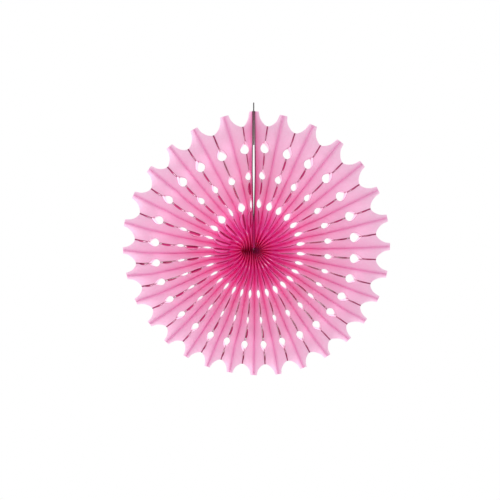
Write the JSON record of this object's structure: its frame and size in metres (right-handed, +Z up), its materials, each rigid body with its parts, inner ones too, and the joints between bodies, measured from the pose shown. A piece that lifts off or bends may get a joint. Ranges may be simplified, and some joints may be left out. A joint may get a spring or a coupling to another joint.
{
  "type": "paper fan rosette",
  "caption": "Round hanging rosette of pleated pink honeycomb tissue with rings of die-cut holes, a scalloped rim, two cover boards meeting at the top and a short string.",
  "frame": {"origin": "upper end of the hanging string, where the rosette is hung from", "axes": "+Z up along the string and the seam, disc in the XZ plane, front facing -Y, +X to the right seen from the front"},
  "size_m": [0.3963, 0.05, 0.409],
  "materials": {
    "tissue": "matt, translucent",
    "board": "matt",
    "string": "matt, twisted"
  },
  "bodies": {
    "root": {"tissue_cell_01": "tissue", "tissue_cell_02": "tissue", "tissue_cell_03": "tissue", "tissue_cell_04": "tissue", "tissue_cell_05": "tissue", "tissue_cell_06": "tissue", "tissue_cell_07": "tissue", "tissue_cell_08": "tissue", "tissue_cell_09": "tissue", "tissue_cell_10": "tissue", "tissue_cell_11": "tissue", "tissue_cell_12": "tissue", "tissue_cell_13": "tissue", "tissue_cell_14": "tissue", "tissue_cell_15": "tissue", "tissue_cell_16": "tissue", "tissue_cell_17": "tissue", "tissue_cell_18": "tissue", "tissue_cell_19": "tissue", "tissue_cell_20": "tissue", "tissue_cell_21": "tissue", "tissue_cell_22": "tissue", "tissue_cell_23": "tissue", "tissue_cell_24": "tissue", "tissue_cell_25": "tissue", "tissue_cell_26": "tissue", "tissue_cell_27": "tissue", "tissue_cell_28": "tissue", "tissue_cell_29": "tissue", "tissue_cell_30": "tissue", "cover_board_right": "board", "cover_board_left": "board", "hanging_string": "string"}
  },
  "joints": []
}
